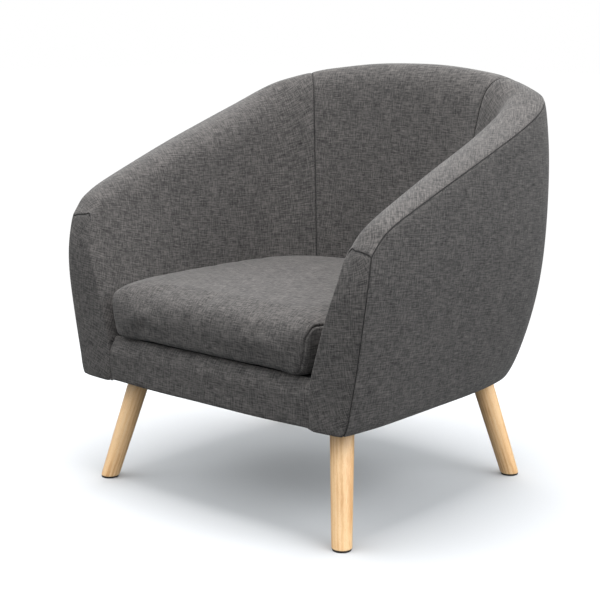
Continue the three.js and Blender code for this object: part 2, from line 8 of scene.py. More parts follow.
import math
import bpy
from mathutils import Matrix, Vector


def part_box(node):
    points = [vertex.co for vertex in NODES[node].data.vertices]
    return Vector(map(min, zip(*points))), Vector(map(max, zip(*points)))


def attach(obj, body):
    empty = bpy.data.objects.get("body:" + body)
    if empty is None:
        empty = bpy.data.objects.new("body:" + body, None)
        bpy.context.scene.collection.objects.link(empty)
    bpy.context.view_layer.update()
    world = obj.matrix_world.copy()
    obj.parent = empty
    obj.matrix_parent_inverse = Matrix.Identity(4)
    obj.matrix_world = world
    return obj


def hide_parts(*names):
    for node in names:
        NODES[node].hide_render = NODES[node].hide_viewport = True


bl_info = {
    "name": "Tub armchair",
    "version": (1, 0, 0),
    "blender": (4, 5, 0),
    "location": "3D View > Sidebar > Armchair",
    "description": "Builds the covers, cushion, legs and stage of a tub armchair round its frame",
    "category": "Object",
}

import bmesh
import bpy
import numpy as np
from mathutils import Matrix, Vector
from mathutils.bvhtree import BVHTree
from mathutils.kdtree import KDTree

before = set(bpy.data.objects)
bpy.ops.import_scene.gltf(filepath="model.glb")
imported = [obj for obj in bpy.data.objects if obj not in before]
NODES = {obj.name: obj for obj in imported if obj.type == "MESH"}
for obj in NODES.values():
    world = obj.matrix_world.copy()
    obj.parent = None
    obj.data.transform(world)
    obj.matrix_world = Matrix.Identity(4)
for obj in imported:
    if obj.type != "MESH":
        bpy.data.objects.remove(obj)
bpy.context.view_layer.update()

MM = 0.001
CLOTH_MAP = "cloth"  # UV map of a fabric piece, in metres along the cloth
PAINTED_SEAM_SHADE = "painted_seam_shade"  # strength of the shade painted into a seam's crease: 1 on a sewn line, fading to 0 beside it
PANEL = "panel"  # number of the panel that a face of the sewn tub belongs to
ARM_FRONT = "arm_front"  # 1 on the faces of an arm's facing
GRAIN = "grain"  # a wooden piece's own straight coordinates, in metres
WELD = 1.5 * MM  # the covers' edges lie closer than this to the edges they are sewn to
SAME_POINT = 0.01 * MM  # points of a CAD node closer than this are one
SIDES = ("right", "left")


# ---- Sizes and colours ----
def linear(hex_colour):
    """The linear colour of an sRGB hex value."""
    parts = [int(hex_colour[i : i + 2], 16) / 255 for i in (1, 3, 5)]
    return tuple(p / 12.92 if p <= 0.04045 else ((p + 0.055) / 1.055) ** 2.4 for p in parts) + (1.0,)


def size(name, description, millimetres):
    """A length that a user can change."""
    return bpy.props.FloatProperty(
        name=name, description=description, default=millimetres * MM, min=0, unit="LENGTH", precision=4
    )


def colour(name, description, hex_colour):
    """A colour that a user can change."""
    return bpy.props.FloatVectorProperty(
        name=name, description=description, default=linear(hex_colour), size=4, min=0, max=1, subtype="COLOR"
    )


def number(name, description, default, unit="NONE"):
    """A plain number that a user can change."""
    return bpy.props.FloatProperty(name=name, description=description, default=default, unit=unit)


class ChairCloth(bpy.types.PropertyGroup):
    """The upholstery cloth and how it is sewn."""

    dark_yarn: colour("Dark yarn", "Thin dark yarns between the slubs", "#242223")
    cloth_tone: colour("Cloth tone", "Most of the weave", "#454342")
    light_yarn: colour("Light yarn", "Thick yarns that stand up from the weave", "#65615f")
    thickness: size("Cloth thickness", "Thickness of a cover", 1.4)
    seam_offset: size("Seam half width", "Half the width of the valley along a seam", 1.6)
    seam_depth: size("Seam depth", "How deep a seam is pulled in", 1.7)
    pillow_reach: size("Pillow reach", "How far beside a seam the padding is drawn down", 16)
    pillow_depth: size("Pillow depth", "How much the padding is drawn down at a seam", 0.9)
    hem_width: size("Hem width", "How much cloth is turned under the shell", 7)


class ChairCushion(bpy.types.PropertyGroup):
    """The loose seat cushion."""

    voxel: size("Voxel", "Size of the faces that the cushion is inflated with", 5)
    pressure: number("Pressure", "How hard the filling pushes", 3.5)
    most_swell: size("Most swell", "How far the filling may push the cloth out", 7)
    pressed: size("Pressed flat", "How much of the swollen underside its weight presses flat", 6)
    corner_reach: size("Corner reach", "How much of a front corner is drawn out", 26)
    seam_depth: size("Seam depth", "How deep the gusset's seam is pulled in", 2.2)
    seam_reach: size("Seam reach", "How far beside the seam the cloth is drawn in", 2.4)
    gusset_round: size("Gusset corner", "Radius of the gusset's upper front corner", 24)
    gusset_drop: size("Gusset drop", "How far the gusset's seam lies under the crown", 27)
    gusset_back: size("Gusset setback", "How far the gusset's front seam lies behind the front", 9)
    zip_width: size("Zip tape width", "Width of the zip's two tapes together", 24)


class ChairLegs(bpy.types.PropertyGroup):
    """The turned legs."""

    beech: colour("Beech", "Ground colour of the wood", "#f2c692")
    beech_dark: colour("Beech, late wood", "Growth lines and flecks", "#dba772")
    foot_radius: size("Foot radius", "Radius of a leg at the floor", 17)
    head_radius: size("Head radius", "Radius of a leg under the shell", 20.5)
    edge: size("Rounded edge", "Radius of the sanded edge of the foot", 1.6)


class ChairStage(bpy.types.PropertyGroup):
    """The floor, lights and camera."""

    floor_side: number("Floor side", "Side of the floor", 40, "LENGTH")
    fade_from: number("Fade from", "Distance at which the floor begins to fade to white", 0.75, "LENGTH")
    fade_to: number("Fade to", "Distance at which the floor is white", 1.7, "LENGTH")
    top_power: number("Top light", "Power of the light overhead", 147)
    left_power: number("Left light", "Power of the front left light", 27)
    right_power: number("Right light", "Power of the right light", 45)
    room: number("Room light", "Brightness of the room's upper walls", 2.45)
    lens: number("Lens", "Focal length on a 36 mm sensor, in mm", 80.94)


# ---- Helpers ----
def node(tree, kind, settings, inputs):
    """Adds a node. Settings are its own values; inputs are values, or output sockets to link, by socket."""
    made = tree.nodes.new(kind)
    for name, value in settings.items():
        setattr(made, name, value)
    for socket, value in inputs.items():
        if isinstance(value, bpy.types.NodeSocket):
            tree.links.new(value, made.inputs[socket])
        else:
            made.inputs[socket].default_value = value
    return made


def new_material(name, **surface):
    """A material with its Principled shader's plain values set."""
    material = bpy.data.materials.new(name)
    material.use_nodes = True
    shader = material.node_tree.nodes["Principled BSDF"]
    for socket, value in surface.items():
        shader.inputs[socket.replace("_", " ")].default_value = value
    return material, material.node_tree, shader


def mix(tree, factor, a, b):
    """A value between two others."""
    return node(tree, "ShaderNodeMix", {"data_type": "FLOAT"}, {0: factor, 2: a, 3: b}).outputs[0]


def mix_colours(tree, factor, a, b):
    """A colour between two others."""
    return node(tree, "ShaderNodeMix", {"data_type": "RGBA"}, {0: factor, 6: a, 7: b}).outputs[2]


def noise(tree, place, millimetres, detail=2.0, dimensions="3D", roughness=0.5):
    """Noise on coordinates in metres, sized along X, Y and Z in millimetres."""
    steps = tuple(1 / (m * MM) for m in millimetres)
    scaled = node(tree, "ShaderNodeMapping", {}, {"Vector": place, "Scale": steps}).outputs["Vector"]
    inputs = {"Vector": scaled, "Scale": 1.0, "Detail": detail, "Roughness": roughness}
    return node(tree, "ShaderNodeTexNoise", {"noise_dimensions": dimensions}, inputs).outputs["Fac"]


def object_place(tree):
    """The object coordinates, in metres."""
    return node(tree, "ShaderNodeTexCoord", {}, {}).outputs["Object"]


def colour_and_bump(tree, shader, base, height, strength, depth):
    """Gives a shader its colour, and a bump of a depth in millimetres."""
    tree.links.new(base, shader.inputs["Base Color"])
    bump = node(tree, "ShaderNodeBump", {}, {"Strength": strength, "Distance": depth * MM, "Height": height})
    tree.links.new(bump.outputs["Normal"], shader.inputs["Normal"])


def ramp(tree, factor, stops):
    """A colour ramp from stops of (position, colour)."""
    made = node(tree, "ShaderNodeValToRGB", {}, {"Fac": factor})
    elements = made.color_ramp.elements
    for i, (position, tone) in enumerate(stops):
        element = elements[i] if i < 2 else elements.new(position)
        element.position = position
        element.color = tone
    return made.outputs["Color"]


def only(o):
    """Selects one object and makes it active."""
    bpy.ops.object.select_all(action="DESELECT")
    o.select_set(True)
    bpy.context.view_layer.objects.active = o


def settle(o):
    """Applies an object's place, turn and scale to its mesh."""
    only(o)
    bpy.ops.object.transform_apply(location=True, rotation=True, scale=True)


def join(main, parts):
    """Joins objects into one of them."""
    bpy.ops.object.select_all(action="DESELECT")
    for part in parts:
        part.select_set(True)
    bpy.context.view_layer.objects.active = main
    bpy.ops.object.join()


def open_mesh(o):
    """An object's mesh, opened to edit."""
    mesh = bmesh.new()
    mesh.from_mesh(o.data)
    return mesh


def close_mesh(mesh, o):
    """Puts an edited mesh back into its object."""
    mesh.to_mesh(o.data)
    mesh.free()


def weld(o, gap):
    """Joins the points of an object's mesh that lie closer together than a gap."""
    mesh = open_mesh(o)
    bmesh.ops.remove_doubles(mesh, verts=mesh.verts, dist=gap)
    close_mesh(mesh, o)


def copy_node(name, new_name):
    """A copy of a CAD node's mesh as a new object, with its loose triangles joined."""
    made = bpy.data.objects.new(new_name, NODES[name].data.copy())
    made.data.materials.clear()
    bpy.context.scene.collection.objects.link(made)
    weld(made, SAME_POINT)
    return made


def points_of(mesh, value="co"):
    """A mesh's points, or another value of three numbers that they have, as an array."""
    flat = np.empty(len(mesh.vertices) * 3)
    mesh.vertices.foreach_get(value, flat)
    return flat.reshape(-1, 3)


def set_points(mesh, points):
    """Moves a mesh's points."""
    mesh.vertices.foreach_set("co", np.asarray(points, dtype=np.float32).ravel())
    mesh.update()


def modify(o, kind, **settings):
    """Adds a modifier with its settings and applies it."""
    modifier = o.modifiers.new(kind.title(), kind)
    for name, value in settings.items():
        setattr(modifier, name, value)
    only(o)
    bpy.ops.object.modifier_apply(modifier=modifier.name)


def finish_piece(o, finish, body, slot, *nodes):
    """Gives a piece its material, hangs it on its body's empty and hides the CAD nodes that it stands for."""
    o.data.materials.clear()
    o.data.materials.append(finish)
    only(o)
    bpy.ops.object.shade_smooth()
    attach(o, body)
    if nodes:
        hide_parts(*nodes)


def surface_of(mesh):
    """A mesh's faces, to find places on."""
    return BVHTree.FromPolygons([v.co for v in mesh.vertices], [p.vertices for p in mesh.polygons])


def search_tree(points):
    """A tree that finds the nearest of some points."""
    tree = KDTree(len(points))
    for i, point in enumerate(points):
        tree.insert(point, i)
    tree.balance()
    return tree


def edge_tree(edges, steps=5):
    """A search tree of points along edges."""
    ends = [[v.co for v in e.verts] for e in edges]
    return search_tree([a.lerp(b, step / (steps - 1)) for a, b in ends for step in range(steps)])


def extrude(mesh, edges):
    """Extrudes edges of a sheet, and returns the new points and the new faces."""
    made = bmesh.ops.extrude_edge_only(mesh, edges=edges)["geom"]
    kinds = (bmesh.types.BMVert, bmesh.types.BMFace)
    return [[part for part in made if isinstance(part, kind)] for kind in kinds]


def bevel_ends(o, width, segments):
    """Rounds the edges of the flat ends of a piece in Edit Mode, and leaves Edit Mode."""
    mesh = bmesh.from_edit_mesh(o.data)
    for face in mesh.faces:
        face.select_set(abs(face.normal.z) > 0.9)
    bmesh.update_edit_mesh(o.data)
    bpy.ops.mesh.bevel(offset=width, segments=segments, profile=0.5, affect="EDGES")
    bpy.ops.object.mode_set(mode="OBJECT")


def connected_faces(mesh):
    """Groups of faces that hang together."""
    groups = []
    seen = set()
    for start in mesh.faces:
        if start in seen:
            continue
        seen.add(start)
        group = [start]
        for face in group:
            for edge in face.edges:
                fresh = [f for f in edge.link_faces if f not in seen]
                seen.update(fresh)
                group.extend(fresh)
        groups.append(group)
    return groups


# ---- Materials ----
def woven_upholstery():
    """Polyester woven to look like linen: uneven yarns give short dark and light dashes both ways, on a
    soft, dull charcoal that lightens a little at grazing angles. The real yarns are finer than these and
    wouldn't show. Along the seams shade is painted in: the cloth is darkened there as the shadow in their
    creases."""
    material, tree, shader = new_material(
        "linen_look_polyester_weave",
        Roughness=0.88,
        IOR=1.45,
        Specular_IOR_Level=0.15,
        Sheen_Weight=0.1,
        Sheen_Roughness=0.5,
    )
    cloth = bpy.context.scene.chair_cloth
    place = node(tree, "ShaderNodeUVMap", {"uv_map": CLOTH_MAP}, {}).outputs["UV"]

    def yarns(across, along, detail, turned):
        """Dashes of a width and a length in millimetres."""
        dash = (across, along) if turned else (along, across)
        return noise(tree, place, (*dash, 1 / MM), detail, "2D", 0.6)

    slubs = mix(tree, 0.47, yarns(2.3, 24, 2.0, False), yarns(2.3, 20, 2.0, True))
    threads = mix(tree, 0.5, yarns(1.5, 9, 1.0, False), yarns(1.5, 9, 1.0, True))
    weave = mix(tree, 0.36, slubs, threads)
    wide = {"Vector": place, "Scale": 22.0, "Detail": 2.0}
    cloud = node(tree, "ShaderNodeTexNoise", {"noise_dimensions": "2D"}, wide).outputs["Fac"]
    yarn_tones = [
        (0.34, tuple(cloth.dark_yarn)),
        (0.64, tuple(cloth.light_yarn)),
        (0.48, tuple(cloth.cloth_tone)),
    ]
    base = ramp(tree, mix(tree, 0.07, weave, cloud), yarn_tones)
    # Painted shade: along the seams the cloth is mixed towards near-black #100f0f, for the shadow in their
    # creases.
    shade = node(tree, "ShaderNodeAttribute", {"attribute_name": PAINTED_SEAM_SHADE}, {}).outputs["Fac"]
    seam_shaded = mix_colours(tree, shade, base, linear("#100f0f"))
    colour_and_bump(tree, shader, seam_shaded, weave, 0.55, 0.9)
    return material


def turned_beech():
    """Beech, turned and sanded under a satin lacquer: pale, with faint growth lines and short dark flecks."""
    material, tree, shader = new_material(
        "satin_lacquered_beech", Roughness=0.42, IOR=1.5, Coat_Weight=0.18, Coat_Roughness=0.3
    )
    legs = bpy.context.scene.chair_legs
    place = node(tree, "ShaderNodeAttribute", {"attribute_name": GRAIN}, {}).outputs["Vector"]

    # The tree's heart lies beside the leg, so its rings show as long arches.
    beside = {"Vector": place, "Location": (0.052, 0.02, 0.0), "Scale": (1.0, 1.0, 0.09)}
    heart = node(tree, "ShaderNodeMapping", {}, beside).outputs["Vector"]
    rings = node(
        tree,
        "ShaderNodeTexWave",
        {"wave_type": "RINGS", "rings_direction": "Z"},
        {"Vector": heart, "Scale": 55.0, "Distortion": 3.2, "Detail": 2.0, "Detail Scale": 14.0},
    ).outputs["Fac"]
    lines = noise(tree, place, (0.9, 0.9, 42), 3.0)
    flecks = noise(tree, place, (0.7, 0.7, 3.4), 1.0)
    mottle = noise(tree, place, (14, 14, 60))
    tone = mix(tree, 0.4, mix(tree, 0.62, rings, lines), mottle)
    dark_wood, wood = tuple(legs.beech_dark), tuple(legs.beech)
    light = ramp(tree, tone, [(0.3, dark_wood), (0.72, linear("#f8d3a4")), (0.46, wood)])
    spots = ramp(tree, flecks, [(0.33, (0.45, 0.45, 0.45, 1)), (0.4, (0, 0, 0, 1))])
    colour_and_bump(tree, shader, mix_colours(tree, spots, light, dark_wood), lines, 0.12, 0.2)
    return material


def patterned(name, grain, stops, bump_strength, bump_height, **surface):
    """A material of one noise of a size in millimetres, with its colours as stops of (position, hex)."""
    material, tree, shader = new_material(name, **surface)
    pattern = noise(tree, object_place(tree), grain)
    base = ramp(tree, pattern, [(position, linear(tone)) for position, tone in stops])
    colour_and_bump(tree, shader, base, pattern, bump_strength, bump_height)
    return material


def grained(along, across, length):
    """The size of a grain in millimetres, drawn out along X, Y or Z."""
    return [length if axis == along else across for axis in "XYZ"]


def sawn_pine(along):
    """Sawn pine: yellow, with darker late wood drawn out along the board. along is X, Y or Z."""
    stops = [(0.35, "#a9804d"), (0.62, "#d9b98a")]
    name = f"sawn_pine_along_{along.lower()}"
    return patterned(name, grained(along, 3.5, 130), stops, 0.4, 0.4, Roughness=0.8, IOR=1.5)


def hardboard():
    """Hardboard, pressed from brown wood fibres: a fine dark speckle."""
    stops = [(0.35, "#5f4529"), (0.65, "#96714a")]
    return patterned("pressed_hardboard", (1.6, 1.6, 1.6), stops, 0.25, 0.2, Roughness=0.85, IOR=1.5)


def cut_foam():
    """Cut polyurethane foam: cream, with open cells."""
    stops = [(0.36, "#cfc6a4"), (0.6, "#efe9d2")]
    return patterned("cut_polyurethane_foam", (1.8, 1.8, 1.8), stops, 0.8, 0.7, Roughness=0.95, IOR=1.4)


def webbing(along):
    """Woven elastic webbing: dark, with cords that run along the strap."""
    stops = [(0.36, "#211c1a"), (0.64, "#54483f")]
    name = f"elastic_webbing_along_{along.lower()}"
    return patterned(name, grained(along, 2.2, 14), stops, 0.7, 0.5, Roughness=0.9, IOR=1.45)


def bonded_lining():
    """Spun-bonded black lining cloth: felted, with a grid of small pressed dots."""
    material, tree, shader = new_material(
        "spun_bonded_lining", Roughness=0.92, IOR=1.45, Specular_IOR_Level=0.25
    )
    place = object_place(tree)
    spacing = {"Vector": place, "Scale": 1 / (3 * MM), "Randomness": 0.15}
    dots = node(tree, "ShaderNodeTexVoronoi", {"feature": "F1"}, spacing).outputs["Distance"]
    height = mix(tree, 0.5, noise(tree, place, (1.2, 3.0, 1.2)), dots)
    base = ramp(tree, height, [(0.25, linear("#161617")), (0.65, linear("#333335"))])
    colour_and_bump(tree, shader, base, height, 0.5, 0.4)
    return material


def zinc_steel():
    """Zinc-plated steel: bright grey with a faint cloudy passivation."""
    stops = [(0.3, "#8f9396"), (0.7, "#b4b7b8")]
    return patterned("zinc_plated_steel", (9, 9, 9), stops, 0.1, 0.1, Roughness=0.34, Metallic=1.0)


def pressed_felt():
    """Pressed wool felt of the floor glides: dark brown and fibrous."""
    stops = [(0.35, "#1f1b19"), (0.65, "#453e39")]
    return patterned("pressed_wool_felt", (1.4, 1.4, 0.9), stops, 0.6, 0.4, Roughness=0.95, IOR=1.45)


def zip_nylon():
    """Moulded nylon coil of a zip: black with a dull gloss."""
    stops = [(0.3, "#141415"), (0.7, "#2b2b2d")]
    return patterned("nylon_zip_coil", (2.0, 0.7, 2.0), stops, 0.4, 0.3, Roughness=0.45, IOR=1.53)


MATERIALS = {}


def material(maker, *details):
    """A material, made the first time that it is asked for."""
    key = (maker.__name__, *details)
    if key not in MATERIALS:
        MATERIALS[key] = maker(*details)
    return MATERIALS[key]


# ---- The covers of the tub ----
BACKING = {
    "facing_right": "front_post_right",
    "facing_left": "front_post_left",
    "inner_cover_right": "foam_right",
    "inner_cover_left": "foam_left",
    "inner_cover_back": "foam_back",
    "outer_cover_right": "outer_board_right",
    "outer_cover_left": "outer_board_left",
    "outer_cover_back": "outer_board_back",
    "apron_cover": "front_rail",
}
RIM = 5.6 * MM  # a cover node's cut edge is narrower than this, and the cells of its faces are wider
NEAR = 4 * MM  # how far a point may lie from a line of the CAD and still belong to it
SHELL_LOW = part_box("outer_cover_back")[0].z
HEM_TOP = SHELL_LOW + 1 * MM  # a hem's points lie lower
BORDER_LOW, BORDER_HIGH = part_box("apron_cover")
# How far the seam over an arm's front lies behind the arch of its facing, in mm, from the outer corner in
SEAM_SLIDES = (0, 2, 4, 7, 9, 5)
SEAM_DROP = 8 * MM  # the seam ends where the arch has dropped by this much
HEM_LIFT = 0.6 * MM  # how much higher a hem's inner edge lies than its fold
FIT_ROUNDS = 4
PANELS = {
    "arm_cover_right": ("inner_cover_right", "facing_right"),
    "arm_cover_left": ("inner_cover_left", "facing_left"),
    "inside_back_cover": ("inner_cover_back",),
    "outside_arm_cover_right": ("outer_cover_right",),
    "outside_arm_cover_left": ("outer_cover_left",),
    "outside_back_cover": ("outer_cover_back",),
}


def outward_skin(name):
    """The side of a cover node that is turned away from its backing, as an open grid of quads."""
    skin = copy_node(name, f"skin_{name}")
    mesh = open_mesh(skin)
    if name.startswith("facing"):
        rim = [f for f in mesh.faces if abs(f.normal.y) < 0.6]
    else:
        rim = [f for f in mesh.faces if min(e.calc_length() for e in f.edges) < RIM]
    bmesh.ops.delete(mesh, geom=rim, context="FACES")
    backing = surface_of(NODES[BACKING[name]].data)
    largest = sorted(connected_faces(mesh), key=len)[-2:]

    def clearance(group):
        return sum(backing.find_nearest(f.calc_center_median())[3] for f in group) / len(group)

    kept = set(max(largest, key=clearance))
    bmesh.ops.delete(mesh, geom=[f for f in mesh.faces if f not in kept], context="FACES")
    join_cells(mesh)
    close_mesh(mesh, skin)
    return skin


def join_cells(mesh):
    """Joins a grid's triangles in pairs. Its diagonals all run the same way, so the diagonal of a cell's
    neighbour starts at the corner that the cell's own diagonal misses."""
    corner = next(v for v in mesh.verts if v.is_boundary and len(v.link_edges) == 3)
    diagonals = [e for e in corner.link_edges if not e.is_boundary]
    for diagonal in diagonals:
        for face in diagonal.link_faces:
            missed = next(v for v in face.verts if v not in diagonal.verts)
            for side in face.edges:
                if side is diagonal or side.is_boundary:
                    continue
                other = next(f for f in side.link_faces if f is not face)
                if not any(e in diagonals for e in other.edges):
                    third = next(v for v in other.verts if v not in side.verts)
                    diagonals.append(next(e for e in other.edges if missed in e.verts and third in e.verts))
    bmesh.ops.dissolve_edges(mesh, edges=diagonals, use_verts=False, use_face_split=False)


def edge_runs(mesh):
    """The four sides of a grid's edge, each as its points in order from corner to corner."""
    mesh.verts.ensure_lookup_table()
    corner = next(v for v in mesh.verts if v.is_boundary and len(v.link_edges) == 2)
    runs = []
    here = corner
    came = None
    while True:
        run = [here]
        while True:
            onward = next(e for e in here.link_edges if e.is_boundary and e is not came)
            came = onward
            here = onward.other_vert(here)
            run.append(here)
            if len(here.link_edges) == 2:
                break
        runs.append(run)
        if here is corner:
            return runs


def middle_of(run):
    """The middle of some points."""
    return sum((v.co for v in run), Vector()) / len(run)


def meet_facing(skins, side):
    """Draws the front edges of an arm's covers forward to the edge of its facing, point by point."""
    facing = open_mesh(skins[f"facing_{side}"])
    runs = edge_runs(facing)
    outer = max(runs, key=lambda run: abs(middle_of(run).x))
    inner = min(runs, key=lambda run: abs(middle_of(run).x))
    arch = max(runs, key=lambda run: middle_of(run).z)
    outer.sort(key=lambda v: v.co.z)
    inner.sort(key=lambda v: -v.co.z)
    arch.sort(key=lambda v: -abs(v.co.x))
    for layer, target in (("inner", arch + inner[1:]), ("outer", outer)):
        skin = skins[f"{layer}_cover_{side}"]
        mesh = open_mesh(skin)
        front = min(edge_runs(mesh), key=lambda run: middle_of(run).y)
        front.sort(key=lambda v: v.co.z if layer == "outer" else -v.co.z - 2 * abs(v.co.x))
        if layer == "inner":
            for slide, vertex, place in zip(SEAM_SLIDES, front, arch):
                beside = next((e for e in vertex.link_edges if not e.is_boundary), None)
                if beside:
                    along = (beside.other_vert(vertex).co - place.co).normalized()
                    place.co += along * slide * MM
        for vertex, place in zip(front, target):
            vertex.co = place.co
        close_mesh(mesh, skin)
    close_mesh(facing, skins[f"facing_{side}"])


def fit_cage(o, levels):
    """Moves the points of a coarse cage until its smooth surface passes through where they were."""
    target = points_of(o.data)
    modifier = o.modifiers.new("Smooth", "SUBSURF")
    modifier.levels = levels
    modifier.render_levels = levels
    for _ in range(FIT_ROUNDS):
        bpy.context.view_layer.update()
        smooth = o.evaluated_get(bpy.context.evaluated_depsgraph_get())
        reached = points_of(smooth.data)[: len(target)]
        set_points(o.data, points_of(o.data) + target - reached)
    only(o)
    bpy.ops.object.modifier_apply(modifier=modifier.name)


def sew_tub():
    """Joins the skins of all covers but the apron into one mesh, whose faces know their panel."""
    skins = {name: outward_skin(name) for name in BACKING if name != "apron_cover"}
    for side in SIDES:
        meet_facing(skins, side)
    for index, nodes in enumerate(PANELS.values()):
        for name in nodes:
            faces = skins[name].data
            for mark, value in ((PANEL, index), (ARM_FRONT, name.startswith("facing"))):
                layer = faces.attributes.new(mark, "INT", "FACE")
                layer.data.foreach_set("value", [value] * len(faces.polygons))
    tub = skins["inner_cover_back"]
    join(tub, skins.values())
    weld(tub, WELD)
    return tub


def mark_seams(tub):
    """Marks the sewn edges of the cage and makes the sharp ones crisp."""
    arch_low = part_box("facing_right")[1].z - SEAM_DROP
    mesh = open_mesh(tub)
    crease = mesh.edges.layers.float.new("crease_edge")
    front = mesh.faces.layers.int[ARM_FRONT]
    panel = mesh.faces.layers.int[PANEL]
    keep_corners(mesh)
    for edge in mesh.edges:
        if len(edge.link_faces) != 2:
            continue
        here, there = edge.link_faces
        at_front = here[front] != there[front]
        cross_seam = at_front and min(v.co.z for v in edge.verts) > arch_low
        edge.seam = here[panel] != there[panel] or cross_seam
        level = abs(edge.verts[0].co.z - edge.verts[1].co.z) < 0.8 * edge.calc_length()
        if edge.seam:
            edge[crease] = 0.95 if at_front or level else 0.2
    close_mesh(mesh, tub)


def keep_corners(mesh):
    """Keeps the hem's corners beside the front border from being smoothed away."""
    crease = mesh.verts.layers.float.new("crease_vert")
    for vertex in mesh.verts:
        x, y, z = vertex.co
        at_hem = abs(z - SHELL_LOW) < HEM_TOP - SHELL_LOW
        if at_hem and abs(abs(x) - BORDER_HIGH.x) < NEAR and y < BORDER_LOW.y + NEAR:
            vertex[crease] = 1.0


def turn_under(tub, depth):
    """Turns the cloth in under the shell, and in beside the front border."""
    border_reach = BORDER_HIGH.x + 15 * MM
    mesh = open_mesh(tub)
    marks = [mesh.faces.layers.int[name] for name in (PANEL, ARM_FRONT)]
    for beside_border in (False, True):
        edges = []
        for edge in mesh.edges:
            ends = [v.co for v in edge.verts]
            hem = max(p.z for p in ends) < HEM_TOP
            beside = all(p.y < BORDER_LOW.y + NEAR and abs(p.x) < border_reach for p in ends)
            if edge.is_boundary and (beside and not hem if beside_border else hem):
                edges.append(edge)
        vertices, faces = extrude(mesh, edges)
        for face in faces:
            beside = next(f for e in face.edges for f in e.link_faces if f not in faces)
            for mark in marks:
                face[mark] = beside[mark]
        for vertex in vertices:
            if beside_border:
                vertex.co.y += depth
            else:
                vertex.co -= Vector((vertex.co.x, vertex.co.y, 0)).normalized() * depth
                vertex.co.z += HEM_LIFT
    close_mesh(mesh, tub)


def sink_seams(tub, cloth):
    """Draws the padding down beside the seams, then bevels the sewn edges, pulls their middle line in, paints
    shade on it for the crease's shadow, and cuts it."""
    mesh = open_mesh(tub)
    mesh.edges.layers.float.remove(mesh.edges.layers.float["crease_edge"])
    shade = mesh.verts.layers.float.new(PAINTED_SEAM_SHADE)
    seams = [e for e in mesh.edges if e.seam]
    line = edge_tree(seams)
    mesh.normal_update()
    drawn = {}
    for vertex in mesh.verts:
        share = max(0, 1 - line.find(vertex.co)[2] / cloth.pillow_reach)
        drawn[vertex] = vertex.normal * cloth.pillow_depth * share * share
    for vertex, move in drawn.items():
        vertex.co -= move
    made = bmesh.ops.bevel(
        mesh,
        geom=seams,
        offset=cloth.seam_offset,
        segments=2,
        profile=0.5,
        affect="EDGES",
        clamp_overlap=False,
    )
    mesh.normal_update()
    strip = set(made["faces"])
    middle = {v for v in made["verts"] if v.link_faces and strip.issuperset(v.link_faces)}
    cut = [e for e in mesh.edges if len(middle.intersection(e.verts)) == 2 and not e.is_boundary]
    for vertex, normal in [(v, v.normal.copy()) for v in middle]:
        if any(edge in cut for edge in vertex.link_edges):
            vertex.co -= normal * cloth.seam_depth
            # Painted shade: the sunk middle line of the seam is darkened fully, for the shadow in its crease.
            vertex[shade] = 1.0
    bmesh.ops.split_edges(mesh, edges=cut)
    close_mesh(mesh, tub)


def cut_panels(tub):
    """Separates the sewn tub into its panels, named for their places."""
    only(tub)
    bpy.ops.mesh.separate(type="LOOSE")
    names = list(PANELS)
    panels = {}
    for piece in list(bpy.context.selected_objects):
        tally = [face.value for face in piece.data.attributes[PANEL].data]
        name = names[max(set(tally), key=tally.count)]
        if name in panels:
            raise RuntimeError(f"{name} came out in more than one piece")
        piece.name = name
        panels[name] = piece
    if set(panels) != set(names):
        raise RuntimeError(f"the tub came apart as {sorted(panels)}")
    return panels


def lay_cloth(o):
    """Unwraps a panel flat, as it is cut, with its threads upright in the middle and its map in metres."""
    only(o)
    bpy.ops.object.mode_set(mode="EDIT")
    bpy.ops.mesh.select_all(action="SELECT")
    bpy.ops.uv.unwrap(method="MINIMUM_STRETCH", iterations=12, margin=0)
    bpy.ops.object.mode_set(mode="OBJECT")
    mesh = o.data
    layer = mesh.uv_layers.active
    layer.name = CLOTH_MAP
    flat = np.empty(len(mesh.loops) * 2)
    layer.data.foreach_get("uv", flat)
    flat = flat.reshape(-1, 2)
    points = points_of(mesh)
    laid = 0.0
    real = 0.0
    up = np.zeros(2)
    for polygon in mesh.polygons:
        corners = list(polygon.loop_indices)
        uv = flat[corners]
        x, y = uv[:, 0], uv[:, 1]
        laid += 0.5 * (np.dot(x, np.roll(y, -1)) - np.dot(y, np.roll(x, -1)))
        real += polygon.area
        if abs(polygon.normal.z) < 0.5:
            height = points[list(polygon.vertices), 2]
            spread = uv - uv.mean(0)
            up += polygon.area * (spread * (height - height.mean())[:, None]).sum(0)
    if laid < 0:
        flat[:, 0] *= -1
        up[0] *= -1
    turn = math.pi / 2 - math.atan2(up[1], up[0])
    spin = np.array([[math.cos(turn), math.sin(turn)], [-math.sin(turn), math.cos(turn)]])
    flat = (flat - flat.mean(0)) @ spin * math.sqrt(real / abs(laid))
    layer.data.foreach_set("uv", flat.ravel())


def finish_panel(o, fill, *nodes):
    """Gives a panel its last smoothing, its thickness and its cloth."""
    cloth = bpy.context.scene.chair_cloth
    lay_cloth(o)
    modify(o, "SUBSURF", levels=1, render_levels=1)
    modify(o, "SOLIDIFY", thickness=cloth.thickness, offset=-1, use_rim=True, use_even_offset=False)
    finish_piece(o, material(woven_upholstery), "root", "linen_weave", *nodes)


class CHAIR_OT_covers(bpy.types.Operator):
    """Sews, smooths and cuts apart the covers of the arms and the back"""

    bl_idname = "chair.covers"
    bl_label = "Covers of the tub"

    def execute(self, context):
        cloth = context.scene.chair_cloth
        tub = sew_tub()
        turn_under(tub, cloth.hem_width)
        mark_seams(tub)
        fit_cage(tub, 2)
        sink_seams(tub, cloth)
        for name, panel in cut_panels(tub).items():
            finish_panel(panel, 0.95 if name.startswith("outside") else 0.85, *PANELS[name])
        return {"FINISHED"}


